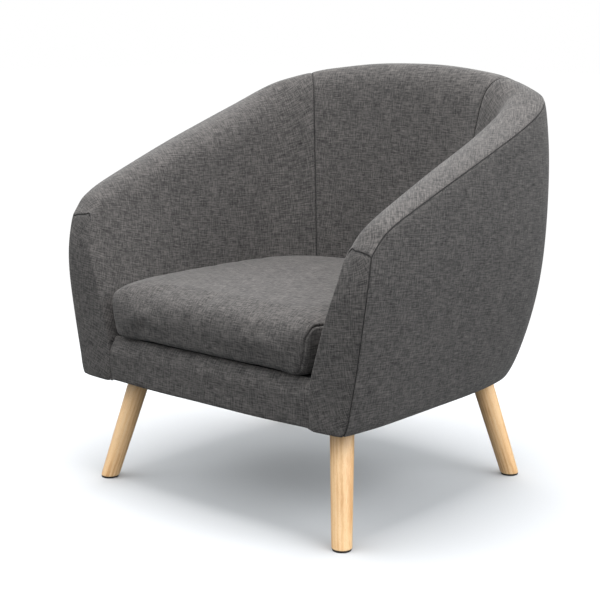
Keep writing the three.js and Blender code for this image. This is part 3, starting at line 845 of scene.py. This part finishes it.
class CHAIR_OT_front_border(bpy.types.Operator):
    """Makes the cover of the front rail, rolled back under the cushion"""

    bl_idname = "chair.front_border"
    bl_label = "Front border"

    def execute(self, context):
        cloth = context.scene.chair_cloth
        border = outward_skin("apron_cover")
        border.name = "front_border"
        mesh = open_mesh(border)
        shade = mesh.verts.layers.float.new(PAINTED_SEAM_SHADE)
        rim = [e for e in mesh.edges if e.is_boundary]
        hem = [e for e in rim if max(v.co.z for v in e.verts) < HEM_TOP]
        end = 0.9 * BORDER_HIGH.x
        ends = [e for e in rim if e not in hem and min(abs(v.co.x) for v in e.verts) > end]
        # Painted shade: the ends that turn back beside the arms are darkened fully, for the shadow in the
        # gaps they run into; the hem turned under the rail gets none.
        for edges, shade_strength in ((hem, 0.0), (ends, 1.0)):
            for vertex in extrude(mesh, edges)[0]:
                vertex.co.y += cloth.hem_width
                vertex[shade] = shade_strength
        keep_corners(mesh)
        close_mesh(mesh, border)
        fit_cage(border, 3)
        finish_panel(border, 0.95, "apron_cover")
        return {"FINISHED"}


# ---- The loose cushion ----
INFLATION_STEPS = 20
GUSSET_START = 60 * MM  # how far before the cushion's back the gusset's seam begins
GUSSET_PAINTED_SHADE = 0.25  # strength of the shade painted into the seam down the front, against 1 along the top
GUSSET_POINTS = (160, 24, 40)  # points along the top, round the corner and down
FINE_REACH = 3  # how far beside the seam the faces are made finer, in seam reaches
LIP_PLACE = 1.8  # how far beside the seam the cloth swells again, in seam reaches
LIP_HEIGHT = 0.3  # how much it swells, as a share of the seam's depth
SHALLOWEST = 0.4  # depth of a seam with no painted shade, as a share of the seam's depth


def inflate(o, cushion):
    """Blows a closed piece up as its filling does, by no more than the most swell."""
    modify(o, "REMESH", mode="VOXEL", voxel_size=cushion.voxel, adaptivity=0)
    bpy.context.view_layer.update()
    rest = points_of(o.data)
    scene = bpy.context.scene
    cloth = o.modifiers.new("Filling", "CLOTH")
    cloth.settings.use_pressure = True
    cloth.settings.uniform_pressure_force = cushion.pressure
    cloth.settings.quality = 5
    cloth.settings.mass = 0.3
    cloth.settings.tension_stiffness = 25
    cloth.settings.compression_stiffness = 25
    cloth.settings.effector_weights.gravity = 0
    cloth.point_cache.frame_start = 1
    cloth.point_cache.frame_end = INFLATION_STEPS
    for step in range(1, INFLATION_STEPS + 1):
        scene.frame_set(step)
    only(o)
    bpy.ops.object.modifier_apply(modifier="Filling")
    scene.frame_set(1)
    moved = points_of(o.data) - rest
    length = np.linalg.norm(moved, axis=1, keepdims=True)
    share = cushion.most_swell * np.tanh(length / cushion.most_swell) / np.maximum(length, 1e-9)
    set_points(o.data, rest + moved * share)
    modify(o, "SMOOTH", factor=0.5, iterations=4)


def fill_box(o, name, pressed):
    """Stretches a piece a little, so that it fills a CAD node's box, with its underside pressed flat by its
    weight."""
    low, high = (np.array(corner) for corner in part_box(name))
    points = points_of(o.data)
    least, most = points.min(0), points.max(0)
    least[2] += pressed
    filled = low + (points - least) / (most - least) * (high - low)
    filled[:, 2] = np.maximum(filled[:, 2], low[2])
    set_points(o.data, filled)


def square_corners(o, cushion):
    """Draws the two front corners out, as a seam's corner stands out more than a round one."""
    reach = cushion.corner_reach
    bluntness = 4
    points = points_of(o.data)
    low, high = points.min(0), points.max(0)
    for point in points:
        across = (abs(point[0]) - high[0] + reach) / reach
        ahead = (low[1] + reach - point[1]) / reach
        if across > 0 and ahead > 0:
            far = math.hypot(across, ahead)
            swell = ((across / far) ** bluntness + (ahead / far) ** bluntness) ** (-1 / bluntness)
            grow = 1 + (swell - 1) * min(1, far)
            point[0] = math.copysign(high[0] - reach + across * grow * reach, point[0])
            point[1] = low[1] + reach - ahead * grow * reach
    set_points(o.data, points)


def gusset_line(cushion, low, high):
    """The seam round a side gusset, as (y, z, strength of its painted shade): along the top edge, round the
    front corner, down.
    """
    radius = cushion.gusset_round
    front = low.y + cushion.gusset_back
    top = high.z - cushion.gusset_drop
    corner = front + radius
    fade = 1 - GUSSET_PAINTED_SHADE
    top_points, corner_points, down_points = GUSSET_POINTS
    along = [(y, top, 1.0) for y in np.linspace(high.y - GUSSET_START, corner, top_points)]
    turn = [
        (corner - radius * math.sin(a), top - radius * (1 - math.cos(a)), 1 - fade * a / (math.pi / 2))
        for a in np.linspace(0, math.pi / 2, corner_points)
    ]
    down = [(front, z, GUSSET_PAINTED_SHADE) for z in np.linspace(top - radius, low.z, down_points)]
    return along + turn + down


def sew_gussets(o, cushion):
    """Pulls in the seams round the two side gussets, on faces made fine enough to hold them, and paints shade
    into their creases.
    """
    points = points_of(o.data)
    low, high = (Vector(p) for p in (points.min(0), points.max(0)))
    surface = surface_of(o.data)
    places = []
    for side in (-1, 1):
        for y, z, shade_strength in gusset_line(cushion, low, high):
            hit = surface.ray_cast(Vector((side * 2 * high.x, y, z)), Vector((-side, 0, 0)))[0]
            if hit is not None and abs(hit.x) > 0.55 * high.x:
                places.append((hit, shade_strength))
    tree = search_tree([place for place, _ in places])
    mesh = open_mesh(o)
    beside = {v for v in mesh.verts if tree.find(v.co)[2] < FINE_REACH * cushion.seam_reach}
    fine = [e for e in mesh.edges if beside.issuperset(e.verts)]
    bmesh.ops.subdivide_edges(mesh, edges=fine, cuts=3, use_grid_fill=True)
    close_mesh(mesh, o)
    points = points_of(o.data)
    normals = points_of(o.data, "normal")
    # Painted shade: each point near the seam keeps the crease's shadow as an attribute that darkens the
    # cloth, full along the top edge and weaker down the front.
    shade = o.data.attributes.new(PAINTED_SEAM_SHADE, "FLOAT", "POINT")
    values = np.zeros(len(points), dtype=np.float32)
    for i, point in enumerate(points):
        _, nearest, gap = tree.find(point)
        shade_strength = places[nearest][1]
        away = gap / cushion.seam_reach
        depth = cushion.seam_depth * (SHALLOWEST + (1 - SHALLOWEST) * shade_strength)
        swell = LIP_HEIGHT * math.exp(-((away - LIP_PLACE) ** 2)) - math.exp(-2 * away**2)
        points[i] += normals[i] * depth * swell
        values[i] = shade_strength * math.exp(-4 * away**2)
    shade.data.foreach_set("value", values)
    set_points(o.data, points)


def lay_cushion_cloth(o):
    """Lays the cloth over the cushion: one length over back, top and front, and an upright piece on each
    side."""
    mesh = o.data
    layer = mesh.uv_layers.new(name=CLOTH_MAP)
    points = points_of(mesh)
    flat = np.empty((len(mesh.loops), 2), dtype=np.float32)
    for polygon in mesh.polygons:
        corners = list(polygon.loop_indices)
        x, y, z = points[list(polygon.vertices)].T
        if abs(polygon.normal.x) > 0.75:
            flat[corners] = np.column_stack((y + 1.0, z))
        elif polygon.normal.y > 0.6:
            flat[corners] = np.column_stack((x, y - z))
        else:
            flat[corners] = np.column_stack((x, y + z))
    layer.data.foreach_set("uv", flat.ravel())


class CHAIR_OT_cushion(bpy.types.Operator):
    """Inflates the loose seat cushion and sews its gussets"""

    bl_idname = "chair.cushion"
    bl_label = "Seat cushion"

    def execute(self, context):
        settings = context.scene.chair_cushion
        cushion = copy_node("cushion_core", "cushion")
        inflate(cushion, settings)
        square_corners(cushion, settings)
        fill_box(cushion, "cushion_cover", settings.pressed * (1))
        modify(cushion, "SUBSURF", levels=1, render_levels=1)
        sew_gussets(cushion, settings)
        lay_cushion_cloth(cushion)
        cloth = material(woven_upholstery)
        finish_piece(cushion, cloth, "seat_cushion", "linen_weave", "cushion_cover", "cushion_core")
        return {"FINISHED"}


# ---- Lining sheets and the zip ----
DECK_TUCK = 5 * MM  # how far the deck cloth runs on past its CAD node, to the front border
SHEET_SINK = 0.6 * MM  # how far a sheet's cloth lies inside its CAD node
HEM = 18 * MM  # width of a sheet's turned edge
HEM_STEP = 0.5 * MM  # how far that edge stands proud
PUCKER = 0.25 * MM  # height of the puckers along it
STAPLE = (10 * MM, 1.1 * MM, 0.7 * MM)
STAPLE_DROP = 0.2 * MM  # how far under the CAD node a staple's middle lies
STAPLED_FROM = 0.22  # edges nearer than this to the middle of the seat have no staples
COIL_TURNS = 220
# Width, depth and height of the zip's slider and of its pull, and how far each hangs down, in mm
SLIDER = ((9, 3.4, 11, 0), (5, 1.4, 20, 11))


def lining_sheet(name, new_name, upward, cell, thickness):
    """A flat lining sheet from one side of a CAD node, as a fine grid in the node's outline."""
    sheet = copy_node(name, new_name)
    low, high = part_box(name)
    mesh = open_mesh(sheet)
    other = [f for f in mesh.faces if f.normal.z * upward < 0.9]
    bmesh.ops.delete(mesh, geom=other, context="FACES")
    for axis in (0, 1):
        direction = Vector((1 - axis, axis, 0))
        for place in np.arange(low[axis] + cell, high[axis], cell):
            parts = mesh.verts[:] + mesh.edges[:] + mesh.faces[:]
            bmesh.ops.bisect_plane(
                mesh, geom=parts, dist=1e-6, plane_co=direction * place, plane_no=direction
            )
    area = sum(f.calc_area() for f in mesh.faces)
    rim = edge_tree([e for e in mesh.edges if e.is_boundary])
    for vertex in mesh.verts:
        x, y = vertex.co.x, vertex.co.y
        gap = rim.find(vertex.co)[2]
        pucker = math.sin(x / (9 * MM)) * math.cos(y / (11 * MM)) * math.exp(-gap / HEM)
        step = HEM_STEP if gap < HEM else 0.0
        vertex.co.z += upward * (step + PUCKER * pucker - SHEET_SINK)
        if upward > 0 and y < low.y + 0.5 * MM:  # tacked down over the front rail, behind the border's lip
            vertex.co += Vector((0, -DECK_TUCK, -0.3 * DECK_TUCK))
    close_mesh(mesh, sheet)
    modify(sheet, "SOLIDIFY", thickness=thickness, offset=-1)
    finish_piece(sheet, material(bonded_lining), "root", "lining_cloth", name)
    return sheet, (high.x - low.x, high.y - low.y), area


def staples_along(name, new_name, spacing, inset):
    """Wire staples round the lower side of a CAD node, each lying along its edge."""
    mesh = open_mesh(NODES[name])
    bmesh.ops.remove_doubles(mesh, verts=mesh.verts, dist=SAME_POINT)
    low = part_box(name)[0].z
    middle = Vector((0, 0, low))
    staples = []
    for edge in mesh.edges:
        a, b = (v.co for v in edge.verts)
        slopes = [f.normal.z for f in edge.link_faces]
        outline = min(slopes) < -0.9 and any(abs(slope) < 0.5 for slope in slopes)
        if not outline or (a.lerp(b, 0.5) - middle).length < STAPLED_FROM:
            continue
        count = max(1, round((b - a).length / spacing))
        for step in range(count):
            place = a.lerp(b, (step + 0.5) / count)
            place -= (place - middle).normalized() * inset
            place.z = low - STAPLE_DROP
            turn = math.atan2(b.y - a.y, b.x - a.x)
            bpy.ops.mesh.primitive_cube_add(size=1, location=place, rotation=(0, 0, turn))
            staple = bpy.context.object
            staple.scale = STAPLE
            staples.append(staple)
    mesh.free()
    row = staples[0]
    join(row, staples)
    settle(row)
    row.name = new_name
    finish_piece(row, material(zinc_steel), "root", "zinc_steel")
    return row


class CHAIR_OT_linings(bpy.types.Operator):
    """Lays the deck cloth under the cushion and the stapled dust cover under the seat"""

    bl_idname = "chair.linings"
    bl_label = "Deck cloth and dust cover"

    def execute(self, context):
        deck, flat, area = lining_sheet("deck_cloth", "seat_deck_cloth", 1, 12 * MM, 0.8 * MM)
        dust, flat, area = lining_sheet("dust_cover", "underside_dust_cover", -1, 14 * MM, 0.5 * MM)
        staples = staples_along("dust_cover", "dust_cover_staples", 42 * MM, 7 * MM)
        return {"FINISHED"}


class CHAIR_OT_zip(bpy.types.Operator):
    """Sews a zip into the back of the cushion: two tapes, the coil, and a slider with its pull"""

    bl_idname = "chair.zip"
    bl_label = "Cushion zip"

    def execute(self, context):
        width = context.scene.chair_cushion.zip_width
        low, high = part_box("cushion_zip")
        length = high.x - low.x
        tape = self.lay_strip("cushion_zip_tape", 60, 8, width, 0.5 * MM)
        modify(tape, "SOLIDIFY", thickness=0.8 * MM, offset=0)
        finish_piece(tape, material(zip_nylon), "seat_cushion", "zip_tape", "cushion_zip")
        coil = self.lay_strip("cushion_zip_coil", COIL_TURNS, 4, 0.2 * width, 1.2 * MM)
        for vertex in coil.data.vertices:
            turn = round((vertex.co.x - low.x) / length * COIL_TURNS)
            vertex.co.y += 0.5 * MM if turn % 2 else -0.5 * MM
        modify(coil, "SOLIDIFY", thickness=0.6 * MM, offset=0)
        finish_piece(coil, material(zip_nylon), "seat_cushion", "zip_tape")
        self.make_slider(coil, low.x + 14 * MM, (low.z + high.z) / 2)
        return {"FINISHED"}

    def lay_strip(self, name, columns, rows, width, above):
        """A strip as long as the zip, made behind the cushion and pressed onto its back."""
        low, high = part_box("cushion_zip")
        bpy.ops.mesh.primitive_grid_add(
            x_subdivisions=columns,
            y_subdivisions=rows,
            size=1,
            location=(0, high.y + 30 * MM, (low.z + high.z) / 2),
            rotation=(math.radians(90), 0, 0),
        )
        strip = bpy.context.object
        strip.name = name
        strip.scale = (high.x - low.x, width, 1)
        settle(strip)
        modify(
            strip,
            "SHRINKWRAP",
            target=bpy.data.objects["cushion"],
            wrap_method="PROJECT",
            use_project_y=True,
            use_negative_direction=True,
            use_positive_direction=False,
            offset=above,
        )
        return strip

    def make_slider(self, coil, x, level):
        """A plated slider at one end of the zip, with its pull hanging down."""
        rear = max(v.co.y for v in coil.data.vertices if abs(v.co.x - x) < 4 * MM)
        parts = []
        for width, depth, height, drop in SLIDER:
            place = (x, rear + depth * MM / 2, level - drop * MM)
            bpy.ops.mesh.primitive_cube_add(size=1, location=place)
            part = bpy.context.object
            part.scale = (width * MM, depth * MM, height * MM)
            settle(part)
            modify(part, "BEVEL", width=0.6 * MM, segments=2)
            parts.append(part)
        slider = parts[0]
        join(slider, parts)
        slider.name = "cushion_zip_slider"
        finish_piece(slider, material(zinc_steel), "seat_cushion", "zinc_steel")


# ---- The legs ----
# Each leg is cut further on in the wood than the one before, and turned round its axis, in degrees.
NEXT_CUT = Vector((0.013, 0.007, 0.31))
NEXT_TURN = 97
FIRST_TURN = 20


def turned_leg(legs):
    """One leg, turned on its own straight axis from its foot at the origin up along Z."""
    low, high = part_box("leg_front_right")
    length = high.z - low.z
    bpy.ops.mesh.primitive_cylinder_add(
        vertices=72, radius=legs.foot_radius, depth=length, location=(0, 0, length / 2), end_fill_type="NGON"
    )
    leg = bpy.context.object
    settle(leg)
    bpy.ops.object.mode_set(mode="EDIT")
    mesh = bmesh.from_edit_mesh(leg.data)
    for face in mesh.faces:
        face.select_set(face.normal.z > 0.9)
    grow = legs.head_radius / legs.foot_radius
    bpy.ops.transform.resize(value=(grow, grow, 1), center_override=(0, 0, length))
    bpy.ops.mesh.select_all(action="DESELECT")
    bevel_ends(leg, legs.edge, 4)
    return leg


def set_grain(o, points):
    """Keeps where each point lay in the straight wood, so that the grain follows the piece."""
    grain = o.data.attributes.new(GRAIN, "FLOAT_VECTOR", "POINT")
    grain.data.foreach_set("vector", np.asarray(points, dtype=np.float32).ravel())


class CHAIR_OT_legs(bpy.types.Operator):
    """Turns the four legs, leans them outwards and puts a felt glide under each"""

    bl_idname = "chair.legs"
    bl_label = "Legs and glides"

    def execute(self, context):
        legs = context.scene.chair_legs
        pattern = turned_leg(legs)
        for i, corner in enumerate(("front_right", "front_left", "back_right", "back_left")):
            name = f"leg_{corner}"
            foot = middle_at(name, min)
            head = middle_at(name, max)
            leg = pattern.copy()
            leg.data = pattern.data.copy()
            leg.name = f"turned_{name}"
            context.scene.collection.objects.link(leg)
            straight = points_of(leg.data)
            share = straight[:, 2:] / straight[:, 2].max()
            set_points(leg.data, straight * (1, 1, 0) + np.array(foot) + share * np.array(head - foot))
            turn = Matrix.Rotation(math.radians(FIRST_TURN + NEXT_TURN * i), 3, "Z")
            set_grain(leg, [turn @ Vector(p) + NEXT_CUT * i for p in straight])
            finish_piece(leg, material(turned_beech), "root", "beech", name)
            only(leg)
            bpy.ops.object.shade_smooth_by_angle(angle=math.radians(50))
            self.make_glide(corner)
        bpy.data.objects.remove(pattern)
        return {"FINISHED"}

    def make_glide(self, corner):
        """A felt pad with a softened lower edge."""
        glide = copy_node(f"glide_{corner}", f"felt_glide_{corner}")
        only(glide)
        bpy.ops.object.mode_set(mode="EDIT")
        mesh = bmesh.from_edit_mesh(glide.data)
        bmesh.ops.dissolve_limit(mesh, angle_limit=math.radians(5), verts=mesh.verts, edges=mesh.edges)
        bevel_ends(glide, 0.7 * MM, 3)
        finish_piece(glide, material(pressed_felt), "root", "glide_felt", f"glide_{corner}")


def middle_at(name, end):
    """The middle of a CAD node's lowest or highest points."""
    points = points_of(NODES[name].data)
    level = end(points[:, 2])
    return Vector(points[abs(points[:, 2] - level) < 0.2 * MM].mean(0))


# ---- Everything inside, and the stage ----
# What the CAD nodes inside are made of, by the start of their names, and which way grain or cords run
INSIDE = {
    "front_rail": (sawn_pine, "X"),
    "back_rail": (sawn_pine, "X"),
    "back_top_rail": (sawn_pine, "X"),
    "side_rail": (sawn_pine, "Y"),
    "arm_top_rail": (sawn_pine, "Y"),
    "corner_block": (sawn_pine, "Y"),
    "front_post": (sawn_pine, "Z"),
    "back_post": (sawn_pine, "Z"),
    "outer_board": (hardboard,),
    "foam_": (cut_foam,),
    "deck_foam": (cut_foam,),
    "long_webbing": (webbing, "Y"),
    "cross_webbing": (webbing, "X"),
    "leg_plate": (zinc_steel,),
    "hanger_bolt": (zinc_steel,),
}


class CHAIR_OT_inside(bpy.types.Operator):
    """Gives the frame, boards, foam, straps and fixings their materials"""

    bl_idname = "chair.inside"
    bl_label = "Frame and fillings"

    def execute(self, context):
        for start, (maker, *details) in INSIDE.items():
            for name, inner in NODES.items():
                if name.startswith(start):
                    for place in inner.material_slots:
                        place.material = material(maker, *details)
        return {"FINISHED"}


def area_light(name, power, tint, side, place, target):
    """A square soft light that faces a point."""
    lamp = bpy.data.lights.new(name, "AREA")
    lamp.energy = power
    lamp.color = tint
    lamp.size = side
    o = bpy.data.objects.new(name, lamp)
    o.location = place
    o.rotation_euler = (Vector(target) - Vector(place)).to_track_quat("-Z", "Y").to_euler()
    bpy.context.scene.collection.objects.link(o)


def fading_floor(near, far):
    """Matt studio floor round the chair. It fades into the white of the room from a near distance to a far
    one, and is clear from below."""
    paint, tree, shader = new_material(
        "matt_white_floor", Base_Color=linear("#c4c5c7"), Roughness=0.9, Specular_IOR_Level=0.1
    )
    place = object_place(tree)
    away = node(tree, "ShaderNodeVectorMath", {"operation": "LENGTH"}, {0: place}).outputs["Value"]
    limits = {"Value": away, 1: near, 2: far}
    fade = node(tree, "ShaderNodeMapRange", {"interpolation_type": "SMOOTHSTEP"}, limits).outputs["Result"]
    white = node(tree, "ShaderNodeEmission", {}, {"Color": (1, 1, 1, 1), "Strength": 1.02}).outputs[0]
    top = node(tree, "ShaderNodeMixShader", {}, {0: fade, 1: shader.outputs[0], 2: white}).outputs[0]
    below = node(tree, "ShaderNodeNewGeometry", {}, {}).outputs["Backfacing"]
    clear = node(tree, "ShaderNodeBsdfTransparent", {}, {}).outputs[0]
    both = node(tree, "ShaderNodeMixShader", {}, {0: below, 1: top, 2: clear}).outputs[0]
    tree.links.new(both, tree.nodes["Material Output"].inputs["Surface"])
    paint.cycles.emission_sampling = "NONE"
    return paint


CAMERA_PLACE = (1.5702, -1.8788, 0.8252)
CAMERA_TILT = 78.58
CAMERA_TURN = 40.82
# The room's brightness as (height, glow): height is 0 straight down, 0.5 level and 1 straight up.
ROOM_GLOW = (
    (0.0, 0.06),
    (1.0, 0.0),
    (0.49, 0.04),
    (0.5, 0.3),
    (0.67, 0.4),
    (0.74, 1.0),
    (0.85, 1.0),
    (0.92, 0.1),
)


def soft_room(brightness):
    """A room whose light comes from its upper walls, cool and soft. The camera sees it plain white."""
    world = bpy.data.worlds.new("soft_room")
    world.use_nodes = True
    tree = world.node_tree
    room = tree.nodes["Background"]
    downward = node(tree, "ShaderNodeNewGeometry", {}, {}).outputs["Incoming"]
    fall = node(tree, "ShaderNodeSeparateXYZ", {}, {0: downward}).outputs["Z"]
    halved = {0: fall, 1: -0.5, 2: 0.5}
    height = node(tree, "ShaderNodeMath", {"operation": "MULTIPLY_ADD"}, halved).outputs[0]
    walls = ramp(tree, height, [(at, (0.95 * glow, 0.985 * glow, glow, 1)) for at, glow in ROOM_GLOW])
    tree.links.new(walls, room.inputs["Color"])
    room.inputs["Strength"].default_value = brightness
    seen = node(tree, "ShaderNodeLightPath", {}, {}).outputs["Is Camera Ray"]
    white = node(tree, "ShaderNodeBackground", {}, {"Color": (1, 1, 1, 1), "Strength": 1.0}).outputs[0]
    both = node(tree, "ShaderNodeMixShader", {}, {0: seen, 1: room.outputs[0], 2: white}).outputs[0]
    tree.links.new(both, tree.nodes["World Output"].inputs["Surface"])
    return world


class CHAIR_OT_stage(bpy.types.Operator):
    """Sets out the floor, the soft lights and the camera"""

    bl_idname = "chair.stage"
    bl_label = "Stage"

    def execute(self, context):
        stage = context.scene.chair_stage
        bpy.ops.mesh.primitive_plane_add(size=stage.floor_side, location=(0, 0, 0))
        floor = context.object
        floor.name = "floor"
        floor.data.materials.append(fading_floor(stage.fade_from, stage.fade_to))
        # The floor's own bounced light would flatten the chair's shading. The room's lower half replaces it.
        floor.visible_diffuse = False
        floor.visible_glossy = False
        middle = (0, 0, 0.35)
        area_light("top", stage.top_power, (1.0, 0.988, 0.98), 2.2, (0, 0, 3.4), middle)
        area_light("front_left", stage.left_power, (1, 1, 1), 2.2, (-1.9, -1.7, 3.0), middle)
        area_light("right", stage.right_power, (0.955, 0.975, 1.0), 2.5, (2.8, 0.2, 1.6), middle)
        context.scene.world = soft_room(stage.room)
        context.scene.view_settings.view_transform = "Standard"
        lens = bpy.data.cameras.new("camera")
        lens.lens = stage.lens
        lens.sensor_width = 36
        camera = bpy.data.objects.new("camera", lens)
        camera.location = CAMERA_PLACE
        camera.rotation_euler = (math.radians(CAMERA_TILT), 0, math.radians(CAMERA_TURN))
        context.scene.collection.objects.link(camera)
        context.scene.camera = camera
        return {"FINISHED"}


# ---- Add-on ----
STEPS = (
    CHAIR_OT_covers,
    CHAIR_OT_front_border,
    CHAIR_OT_cushion,
    CHAIR_OT_zip,
    CHAIR_OT_linings,
    CHAIR_OT_legs,
    CHAIR_OT_inside,
    CHAIR_OT_stage,
)
SETTINGS = {
    "chair_cloth": ChairCloth,
    "chair_cushion": ChairCushion,
    "chair_legs": ChairLegs,
    "chair_stage": ChairStage,
}


class CHAIR_PT_build(bpy.types.Panel):
    """The armchair's steps and settings"""

    bl_idname = "CHAIR_PT_build"
    bl_label = "Tub armchair"
    bl_space_type = "VIEW_3D"
    bl_region_type = "UI"
    bl_category = "Armchair"

    def draw(self, context):
        for step in STEPS:
            self.layout.operator(step.bl_idname)
        for name, group in SETTINGS.items():
            box = self.layout.box()
            for setting in group.__annotations__:
                box.prop(getattr(context.scene, name), setting)


def register():
    for made in (*SETTINGS.values(), *STEPS, CHAIR_PT_build):
        bpy.utils.register_class(made)
    for name, group in SETTINGS.items():
        setattr(bpy.types.Scene, name, bpy.props.PointerProperty(type=group))


def unregister():
    for name in SETTINGS:
        delattr(bpy.types.Scene, name)
    for made in (CHAIR_PT_build, *reversed(STEPS), *SETTINGS.values()):
        bpy.utils.unregister_class(made)


def main():
    register()
    for step in STEPS:
        family, name = step.bl_idname.split(".")
        getattr(getattr(bpy.ops, family), name)()
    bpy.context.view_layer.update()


if __name__ == "__main__":
    main()
